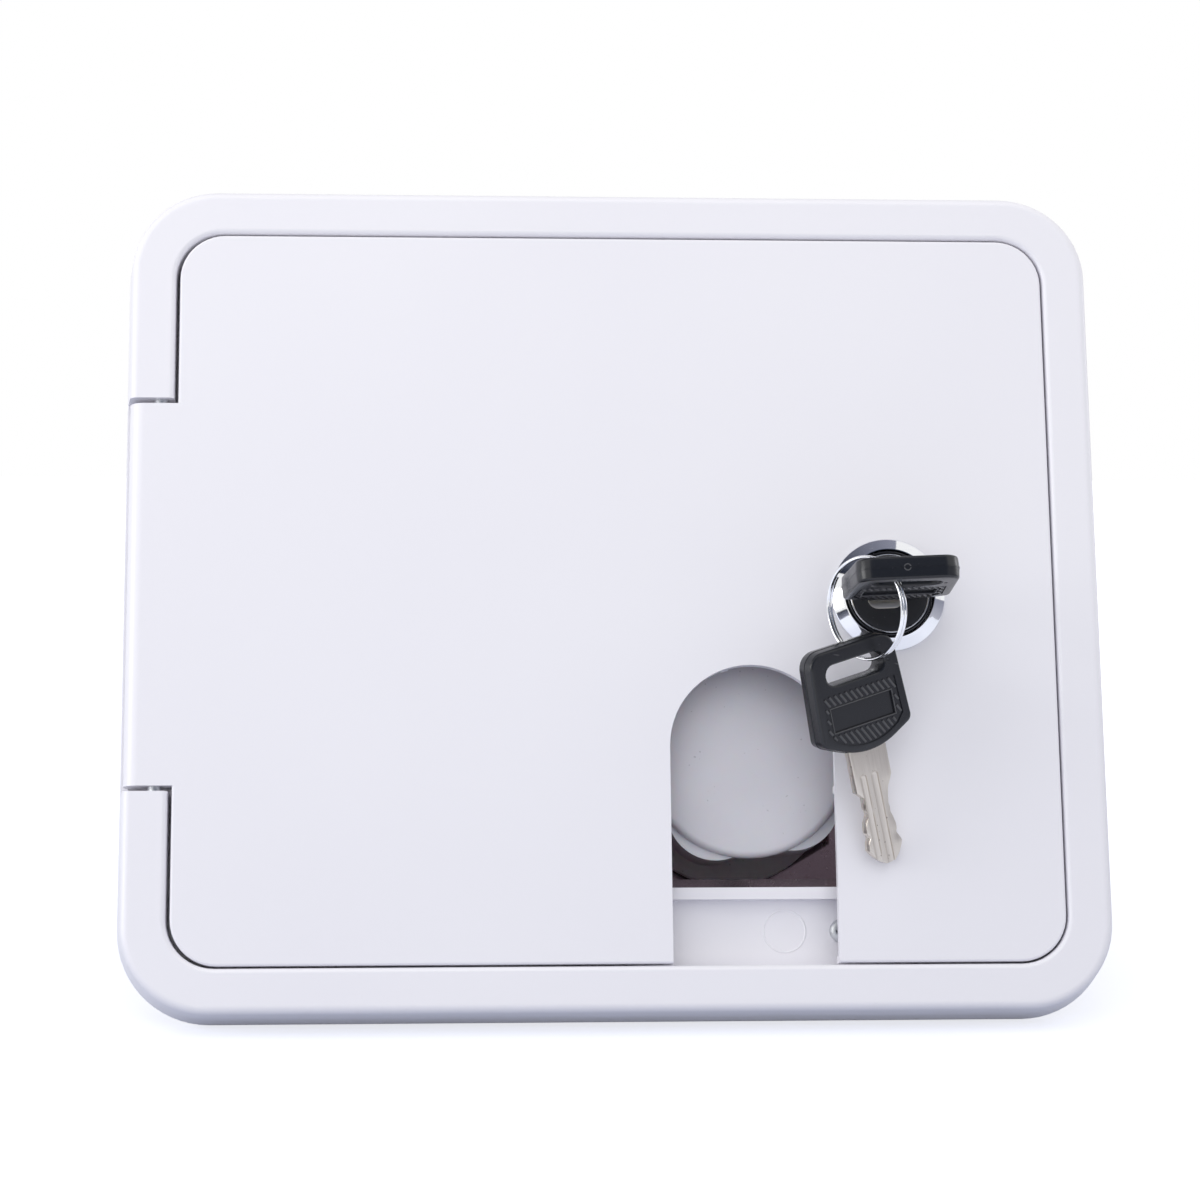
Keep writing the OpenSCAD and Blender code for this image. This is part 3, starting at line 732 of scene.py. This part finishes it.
def make_lock():
    bezel = [(9.95, 11.8), (12.6, 11.8), (12.78, 11.86), (12.8, 12.0), (12.8, 12.45), (12.76, 12.58)]
    bezel += [(12.66, 12.7), (12.5, 12.83), (11.95, 13.24), (11.4, 13.65), (10.85, 14.06), (10.4, 14.4)]
    bezel += [(10.14, 14.55), (10.02, 14.52), (9.95, 14.42)]
    add_piece("bezel_ring", placed(smooth(turned("bezel_ring", bezel, 160), 40), AT_LOCK), "lock_bezel")
    pitch = 1.2
    barrel = [(9.0, -8.65), (9.35, -8.65)]
    barrel += thread_rows(9.65, -8.3, 11.2, pitch, 0.55)
    barrel += [(9.65, 14.1), (9.6, 14.32), (9.48, 14.48), (9.32, 14.55)]
    barrel += [(9.16, 14.5), (9.05, 14.36), (9.0, 14.15)]
    barrel_mesh = smooth(turned("lock_barrel", barrel, 128, pitch), 30)
    add_piece("lock_barrel", placed(barrel_mesh, AT_LOCK), "lock_housing")
    nut = smooth(hex_nut("barrel_nut", 23, 9.7, 5.9, 9.4), 25)
    add_piece("barrel_nut", placed(nut, AT_LOCK), "lock_nut")
    plug = [(0, 14.38), (6.0, 14.4), (7.6, 14.46), (8.2, 14.5), (8.42, 14.46), (8.52, 14.35)]
    plug += [(8.55, 14.2), (8.55, 10.55), (8.95, 10.55), (8.95, -9.05), (8.8, -9.25), (0, -9.25)]
    keyway = [(14.7, 0.35), (14.42, 0.2), (14.2, 0.0), (-8.1, 0.0)]
    slot = skin("keyway", [[(x, y, z) for x, y in stadium(*KEYWAY, grow)] for z, grow in keyway])
    # The whole plug is greyed a little.
    plug_mesh = lighten_points(smooth(carved(turned("plug_core", plug, 128), [slot]), 25), 0.22)
    add_piece("plug_core", placed(plug_mesh, AT_PLUG), "lock_plug")
    line = [(8.56, 10.55), (8.94, 10.55), (8.94, 14.4), (8.9, 14.5)]
    line += [(8.8, 14.55), (8.68, 14.54), (8.58, 14.45)]
    add_piece("plug_line", placed(smooth(turned("plug_line", line, 128), 50), AT_PLUG), "plug_ring")


def make_keyway_plate():
    """Bright metal plate in the plug's face, round the blade."""
    length, width, aside, down = 8.0, 4.4, 1.0, 1.2
    rings = []
    for z, inset in rounded_levels(14.2, 14.52, 0.12, 3):
        rings.append([(x - aside, y - down, z) for x, y in stadium(length, width, -inset)])
    slot = skin("slot", [[(x, y, z) for x, y in stadium(*KEYWAY)] for z in (14.0, 15.0)])
    mesh = smooth(carved(skin("keyway_plate", rings), [slot]), 30)
    plate_piece = bpy.data.objects.new("keyway_plate", placed(mesh, AT_PLUG))
    bpy.context.scene.collection.objects.link(plate_piece)
    mesh.materials.append(FINISHES["key_metal"])
    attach(plate_piece, "lock")


def cam_outline(inset):
    width, length, corner = 12.0, 13.8, 2.5
    half = width / 2
    points = arc((half - corner, length - corner), corner - inset, 0, 90, 6)
    points += arc((-half + corner, length - corner), corner - inset, 90, 180, 6)
    return points + arc((0, 0), half - inset, 180, 360, 24)


def make_cam():
    cam = smooth(plate("cam_plate", cam_outline, -11.25, -9.25, 0.35), 30)
    add_piece("cam_plate", placed(cam, AT_PLUG), "lock_cam")
    screw = [(0, 2.4), (1.6, 2.38), (2.4, 2.22), (2.95, 1.9), (3.3, 1.4)]
    screw += [(3.48, 0.8), (3.5, 0.2), (3.45, 0), (0, 0)]
    head = carved(turned("cam_bolt", screw, 48), cross_recess(4.2, 1.1, 1.5, 2.4))
    backwards = AT_PLUG @ moved(0, 0, -11.25) @ turned_by(180, "X")
    add_piece("cam_bolt", placed(smooth(head, 28), backwards), "cam_screw")


# Keys


def head_outline(inset):
    """Outline of a key's head: round outer corners, sides that widen, a bowed end at the blade."""
    right = arc((7.4, -4), 4 - inset, 90, 2.8, 9) + arc((9.95, -19.2), 2.2 - inset, 2.8, -60, 7)
    bottom = arc((0, -7.5), 17 - inset, -65.7, -90, 6)
    half = right + bottom
    return half + [(-x, y) for x, y in reversed(half[:-1])]


def field_outline(grow):
    """Outline of the ribbed field on a head's face."""
    top, upper, lower = -9.8 + grow, 9.5 + grow, 9.95 + grow
    bow = arc((0, -7.5), 15.2 + grow, -57.5, -122.5, 12)
    return [(-upper, top), (upper, top), (lower, -18.4)] + bow + [(-lower, -18.4)]


PANEL = (-8.0, 7.9, -18.1, -13.0)
FIELD_DEPTH = 0.28


def field_ridges(level):
    """Slanting ridges over the field, which stop short of the bare panel."""
    pitch, start, top, stride, border = 1.42, -9.0, -10.2, 0.1, 0.7
    slant = Vector((0.5, -0.866))
    x0, x1, y0, y1 = PANEL
    lines = []
    for k in range(-22, 12):
        run = []
        for step in range(200):
            x, y = Vector((k * pitch, start)) + slant * (step * stride)
            bow = math.hypot(x, y + 7.5) < 14.7
            inside = abs(x) < 9.1 + (-9.8 - y) * 0.05 and y < top and bow
            panel = x0 - border < x < x1 + border and y0 - border < y < y1 + border
            if inside and not panel:
                run.append((x, y, level))
            elif run:
                lines.append(run)
                run = []
    return [(run[0], run[-1]) for run in lines if len(run) > 6]


def head_face(turn):
    """Cutters for one face of a head: the ribbed field and the bare panel in it."""
    face = HEAD_T / 2
    floor = face - FIELD_DEPTH
    field = [[(x, y, z) for x, y in field_outline(grow)] for z, grow in ((face + 1, 0.15), (floor, -0.12))]
    x0, x1, y0, y1 = PANEL
    panel = []
    for z, inset in ((face + 0.5, -0.1), (floor - 0.4, 0.08)):
        a, b, c, d = x0 + inset, x1 - inset, y0 + inset, y1 - inset
        panel.append([(a, c, z), (b, c, z), (b, d, z), (a, d, z)])
    return [placed(cutter, turn) for cutter in (skin("field", field), skin("panel", panel))]


def key_head_mesh(name):
    face, edge = HEAD_T / 2, 0.65
    levels = [(z, inset + 0.24) for z, inset in rounded_levels(-face, face, edge, 5)[:6]]
    levels += [(0.16, 0.1), (0.1, 0.0)]
    levels += [(-z, inset) for z, inset in reversed(levels)]
    head = skin(name, [[(x, y, z) for x, y in head_outline(inset)] for z, inset in levels])
    slot = [(face + 0.2, 0.5), (face, 0.42), (face - 0.16, 0.14), (face - 0.45, 0.0)]
    slot += [(-z, grow) for z, grow in reversed(slot)]
    slot_rings = [[(x, y - SLOT_IN, z) for x, y in stadium(SLOT_L, SLOT_W, grow)] for z, grow in slot]
    over = turned_by(180, "Y")
    cutters = [skin("slot", slot_rings)] + head_face(Matrix()) + head_face(over)
    dimple = turned("dimple", [(0, 0.3), (0.45, 0.3), (0.4, -0.12), (0, -0.25)], 20)
    cutters.append(placed(dimple, moved(8.6, -6.3, face)))
    head = carved(head, cutters)
    floor = face - FIELD_DEPTH
    finish = FINISHES["black_plastic"]
    ridges = wires(name + "_ridges", field_ridges(floor - 0.05), 0.66, finish)
    x0, x1, y0, y1 = (PANEL[0] - 0.2, PANEL[1] + 0.2, PANEL[2] - 0.2, PANEL[3] + 0.2)
    rim_path = [(x0, y0, floor), (x1, y0, floor), (x1, y1, floor), (x0, y1, floor)]
    rim = wires(name + "_rim", [rim_path], 0.44, finish, closed=True)
    back = [placed(shape.copy(), over) for shape in (ridges, rim)]
    gate_path = [(x, -0.16, z) for x, z in arc((-0.5, 0), 0.68, 0, 345, 23)]
    gate = wires(name + "_gate", [gate_path], 0.3, finish, closed=True)
    plain = len(head.vertices)
    # The ridges, rim and gate ring are greyed as painted highlight.
    return lighten_points(smooth(joined(name, [head, ridges, rim, gate] + back), 28), 0.7, plain)


BLADE_RIGHT = [(4.8, -22.0), (4.8, -31.0), (4.3, -32.0), (3.3, -33.6), (2.85, -35.6), (2.6, -37.2)]
BLADE_RIGHT += [(2.75, -38.2), (2.65, -39.2), (3.1, -40.6), (3.45, -42.2), (3.4, -43.2), (3.1, -44.0)]
BLADE_RIGHT += [(3.75, -45.2), (4.1, -46.1), (3.9, -46.9), (2.9, -48.6), (1.6, -49.9), (0.7, -50.2)]
BLADE_LEFT = [(-0.9, -50.1), (-2.2, -49.2), (-3.8, -47.5), (-4.5, -46.3), (-4.35, -45.2), (-4.25, -44.5)]
BLADE_LEFT += [(-3.75, -43.6), (-3.8, -43.1), (-4.25, -42.3), (-4.2, -41.2), (-3.9, -40.0), (-3.1, -38.7)]
BLADE_LEFT += [(-2.95, -38.0), (-3.35, -37.0), (-3.25, -34.6), (-4.8, -33.0), (-4.8, -22.0)]


def key_blade_mesh(name):
    """A flat blade with its cuts along both edges and two long flutes milled in each face."""
    outline = bpy.data.curves.new(name, "CURVE")
    outline.dimensions = "2D"
    outline.fill_mode = "BOTH"
    edge = 0.12
    outline.bevel_depth = edge * MM
    outline.bevel_resolution = 1
    outline.offset = -edge * MM
    outline.extrude = (BLADE_T / 2 - edge) * MM
    points = BLADE_RIGHT + BLADE_LEFT
    spline = outline.splines.new("POLY")
    spline.points.add(len(points) - 1)
    for point, (x, y) in zip(spline.points, points):
        point.co = (x * MM, y * MM, 0, 1)
    spline.use_cyclic_u = True
    blade = merged(plain_mesh(scratch_object(outline), name))
    face, flute_top, flute_l = BLADE_T / 2, -29.3, 26.0
    levels = [(0.3, 0.0), (0.0, 0.0), (-0.26, -0.12), (-0.43, -0.35), (-0.5, -0.7)]
    cutters = []
    for turn in (Matrix(), turned_by(180, "Y")):
        for x, width in ((-2.5, 1.7), (0.45, 1.8)):
            middle = moved(x, flute_top - flute_l / 2, 0) @ turned_by(90, "Z")
            rings = []
            for rise, grow in levels:
                rings.append([(a, b, face + rise) for a, b in stadium(flute_l, width, grow, 8)])
            cutters.append(placed(skin("flute", rings), turn @ middle))
    return smooth(carved(blade, cutters), 25)


def key_piece(name, mesh, node, place):
    """Puts a key's piece in its place and keeps its own coordinates for its finish."""
    own = mesh.attributes.new("key_place", "FLOAT_VECTOR", "POINT")
    own.data.foreach_set("vector", [c for vertex in mesh.vertices for c in vertex.co])
    add_piece(name, placed(mesh, place), node)


def make_keys():
    head, blade = key_head_mesh("head"), key_blade_mesh("blade")
    for name, place, nodes in (
        ("turned_key", IN_LOCK, ("key_head", "key_blade")),
        ("hanging_key", ON_RING, ("spare_key_head", "spare_key_blade")),
    ):
        key_piece(name + "_head", head.copy(), nodes[0], place)
        key_piece(name + "_blade", blade.copy(), nodes[1], place)
    bpy.data.meshes.remove(head)
    bpy.data.meshes.remove(blade)


def make_split_ring():
    """Two turns of one wire, which steps from one coil to the other beside its own ends."""
    radius, wire, pitch, steps = 11.14, 0.78, 0.89, 180
    first, last, step_at, step_run, spin = 32, 688, 332, 56, 100
    path = []
    for i in range(steps + 1):
        angle = first + (last - first) * i / steps
        step = min(1, max(0, (angle - step_at) / step_run))
        rise = (step * step * (3 - 2 * step) - 0.5) * pitch
        a = math.radians(angle + spin)
        path.append((radius * math.cos(a), radius * math.sin(a), rise))
    mesh = smooth(wires("key_ring", [path], wire, FINISHES["chrome"]), 40)
    add_piece("key_ring", placed(mesh, AT_RING), "split_ring")


# Filler cap and neck


def cap_crown(radius):
    """Height of the disc's domed face."""
    top, fall, disc_r = 2.6, 2.2, 23.4
    return top - fall * (radius / disc_r) ** 2


def make_cap():
    disc = [(0, cap_crown(0))] + [(r, cap_crown(r)) for r in (4, 8, 12, 16, 19, 21.3)]
    for angle in range(10, 91, 10):
        a = math.radians(angle)
        disc.append((21.55 + 1.85 * math.sin(a), -1.14 + 1.85 * math.cos(a)))
    disc += [(23.38, -1.4), (23.3, -1.54), (23.1, -1.6), (0, -1.6)]
    add_piece("cap_top", placed(smooth(turned("cap_top", disc, 160), 40), AT_CAP), "cap_disc")
    add_piece("cap_lobes", placed(smooth(cap_lobes(), 35), AT_CAP), "cap_grip")
    seal = [(15.0, -1.75), (15.15, -1.6), (19.3, -1.6), (19.5, -1.8), (19.5, -3.0), (19.3, -3.2)]
    seal += [(15.15, -3.2), (15.0, -3.05)]
    add_piece("cap_ring_seal", placed(smooth(turned("cap_ring_seal", seal, 96), 50), AT_CAP), "cap_seal")


def cap_lobes():
    """The cap's hand grip: a ring with five round lobes that run into it."""
    steps = 240
    bore, ring_r, lobe_r, offset = 19.55, 21.35, 10.8, 14.8
    count, first_lobe, blend = 5, -119, 0.8

    def reach(angle):
        best = ring_r
        for i in range(count):
            away = angle - math.radians(first_lobe + 360 / count * i)
            across = offset * math.sin(away)
            if abs(across) < lobe_r and math.cos(away) > 0:
                lobe = offset * math.cos(away) + math.sqrt(lobe_r**2 - across**2)
                gap = max(0, 1 - abs(lobe - best) / blend)
                best = max(lobe, best) + 0.2 * gap * gap
        return best

    outline = [reach(2 * math.pi * i / steps) for i in range(steps)]
    rings = []
    for height, inset in ((-1.6, 0.0), (-14.6, 0.25), (-15.6, 0.5), (-16.3, 1.0), (-16.6, 1.7)):
        ring = []
        for i, full in enumerate(outline):
            angle = 2 * math.pi * i / steps
            r = max(full - inset, ring_r - 0.6 * inset)
            ring.append((r * math.cos(angle), r * math.sin(angle), height))
        rings.append(ring)
    for radius, height in ((bore + 0.3, -16.6), (bore, -16.3), (bore, -1.6)):
        rings.append(circle_points(radius, height, steps))
    return skin("cap_lobes", rings, closed=True)


def make_neck():
    neck = [(16.0, -3.6), (16.15, -3.3), (16.4, -3.2), (18.6, -3.2), (18.9, -3.3), (19.0, -3.6)]
    neck += [(19.0, -40.6), (19.2, -41.1), (19.6, -41.3), (24.6, -41.3), (24.9, -41.4), (25.0, -41.7)]
    neck += [(25.0, -44.3), (20.0, -44.3), (20.0, -53.7), (19.7, -54.0), (19.0, -54.2), (19.0, -64.0)]
    first_barb, barb_l = -64, 8
    for i in range(3):
        top = first_barb - barb_l * i
        neck += [(19.0, top - 0.3), (17.8, top - barb_l + 0.25)]
        neck += [(17.85, top - barb_l + 0.05), (19.0, top - barb_l - 0.05)]
    neck = neck[:-1] + [(17.5, -88.0), (16.3, -88.0), (16.0, -87.7)]
    add_piece("neck_tube", placed(smooth(turned("neck_tube", neck, 128), 30), AT_CAP), "filler_neck")
    gasket = [(20.05, -44.3), (24.8, -44.3), (25.0, -44.6), (25.0, -45.5), (24.8, -45.8), (20.05, -45.8)]
    add_piece("neck_washer", placed(smooth(turned("neck_washer", gasket, 96), 40), AT_CAP), "neck_gasket")
    nut = smooth(hex_nut("neck_ring_nut", 50, 20.05, -54, -48), 25)
    add_piece("neck_ring_nut", placed(nut, AT_CAP), "neck_nut")


# Scene


def camera():
    """The photo's view, worked out from the four corners of the door."""
    place = Vector((-45.1, -663.5, -134.3)) * MM
    ahead, overhead = Vector((0.062, 0.9781, 0.1989)), Vector((-0.001, -0.1992, 0.98))
    lens, sensor = 90, 36
    forward = ahead.normalized()
    right = forward.cross(overhead).normalized()
    up = right.cross(forward)
    turn = Matrix((right, up, -forward)).transposed()
    data = bpy.data.cameras.new("camera")
    data.lens = lens
    data.sensor_width = sensor
    eye = bpy.data.objects.new("camera", data)
    eye.matrix_world = Matrix.Translation(place) @ turn.to_4x4()
    bpy.context.scene.collection.objects.link(eye)
    bpy.context.scene.camera = eye


def lamp(name, place, aim, size, power, mirrored=True):
    data = bpy.data.lights.new(name, "AREA")
    data.shape = "RECTANGLE"
    data.size, data.size_y = (side * MM for side in size)
    data.energy = power
    light = bpy.data.objects.new(name, data)
    light.visible_glossy = mirrored
    light.location = Vector(place) * MM
    light.rotation_euler = (Vector(aim) - Vector(place)).to_track_quat("-Z", "Y").to_euler()
    bpy.context.scene.collection.objects.link(light)


def world(level):
    """Soft light all round; what the camera and the reflections see of it is white."""
    sky = bpy.data.worlds.new("world")
    bpy.context.scene.world = sky
    sky.use_nodes = True
    back = sky.node_tree.nodes["Background"]
    t = Shading(sky.node_tree)
    either = t.node("ShaderNodeMath", {"operation": "MAXIMUM"}, {0: t.ray("Camera"), 1: t.ray("Glossy")})
    seen = t.node("ShaderNodeMath", {"operation": "MAXIMUM"}, {0: either, 1: t.ray("Transmission")})
    back.inputs["Color"].default_value = (1, 1, 1, 1)
    t.join(level + seen * (1 - level), back.inputs["Strength"])


def floor():
    """A pale surface that the hatch leans back on: under its lower edge and its hose tail."""
    low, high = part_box("bezel_frame")
    tail_low, tail_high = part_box("filler_neck")
    front = Vector((0, high.y, low.z))
    back = Vector((0, tail_high.y, tail_low.z))
    along = (back - front).normalized()
    reach_front, reach_back, half = 0.5, 0.9, 0.8
    near, far = front - along * reach_front, front + along * reach_back
    corners = [(x, end.y, end.z) for end in (near, far) for x in (-half, half)]
    mesh = bpy.data.meshes.new("floor")
    mesh.from_pydata([corners[0], corners[1], corners[3], corners[2]], [], [(0, 1, 2, 3)])
    surface = scratch_object(mesh, "floor")
    mesh.materials.append(floor_paint())


def floor_paint():
    """Matt and cool in shadow, white to the camera away from the hatch, and clear from below. The white is
    a painted glow that the camera and reflections see, weaker near the hatch than further off.
    """
    paint, t = stage_paint("floor_paint")
    mirrored, near_glow, near, far = 0.55, 0.66, 0.12, 0.28
    place = t.node("ShaderNodeTexCoord", {}, {}, "Object")
    away = t.node("ShaderNodeVectorMath", {"operation": "LENGTH"}, {0: place}, "Value")
    reach = {"Value": away, "From Min": near, "From Max": far, "To Min": near_glow, "To Max": 1.0}
    # Painted glow for the camera and reflections: weaker near the hatch so its real shadow shows, full
    # further off.
    strength = (t.ray("Glossy") * mirrored + t.ray("Camera")) * t.node("ShaderNodeMapRange", {}, reach)
    glow = t.node("ShaderNodeEmission", {}, {"Strength": strength})
    matt = t.node("ShaderNodeBsdfDiffuse", {}, {"Color": (0.4, 0.43, 0.54, 1)})
    both = t.node("ShaderNodeAddShader", {}, {0: matt, 1: glow})
    below = t.node("ShaderNodeNewGeometry", {}, {}, "Backfacing")
    clear = t.node("ShaderNodeBsdfTransparent", {}, {})
    t.end(t.node("ShaderNodeMixShader", {}, {0: below, 1: both, 2: clear}))
    return paint


def card(name, corners, first, second):
    """A studio card that only reflections show, shaded from its first side to its second."""
    mesh = bpy.data.meshes.new(name)
    mesh.from_pydata([Vector(corner) * MM for corner in corners], [], [(0, 1, 2, 3)])
    shades = mesh.attributes.new("shade", "FLOAT", "POINT")
    shades.data.foreach_set("value", [0, 1, 1, 0])
    surface = scratch_object(mesh, name)
    for rays in ("camera", "diffuse", "transmission", "volume_scatter", "shadow"):
        setattr(surface, "visible_" + rays, False)
    paint, t = stage_paint(name + "_paint")
    shade = t.attribute("shade")
    t.end(t.node("ShaderNodeEmission", {}, {"Color": t.blend(shade, first, second)}))
    mesh.materials.append(paint)


def cards():
    """Cards round the hatch, which give the chrome and the black plastic their tones."""
    ink, slate, grey = (0.01, 0.015, 0.03), (0.1, 0.13, 0.2), (0.27, 0.28, 0.35)
    pale, bright = (0.75, 0.75, 0.82), (3.0, 3.0, 3.1)
    front = [(-500, -1250, -450), (900, -1250, -450), (900, -1250, 900), (-500, -1250, 900)]
    above = [(-720, -420, 620), (286, -420, 760), (286, 600, 760), (-720, 600, 620)]
    left = [(-450, -400, -100), (-450, -400, -200), (-450, -220, -200), (-450, -220, -100)]
    right = [(660, -260, 60), (660, -260, -420), (660, 200, -420), (660, 200, 60)]
    front_right = [(620, -760, 120), (620, -760, -480), (960, -260, -480), (960, -260, 120)]
    behind = [(900, 60, 120), (900, 420, 120), (900, 420, 420), (900, 60, 420)]
    card("front_card", front, slate, slate)
    card("top_card", above, ink, grey)
    card("left_card", left, ink, grey)
    card("right_card", right, grey, pale)
    card("front_right_card", front_right, grey, pale)
    card("right_glow", behind, bright, bright)


bpy.context.scene.view_settings.view_transform = "Standard"
camera()
world(0.74)
lamp("key_light", (-220, -420, 620), (0, 0, 0), (900, 650), 1.5, False)
lamp("front_light", (100, -850, 100), (0, 0, 0), (900, 900), 1.5, False)
lamp("left_light", (-900, -300, 100), (0, 0, 0), (420, 420), 2.2)
floor()
cards()
make_shell()
make_ledge_details()
make_lock()
make_keyway_plate()
make_cam()
make_keys()
make_split_ring()
make_cap()
make_neck()
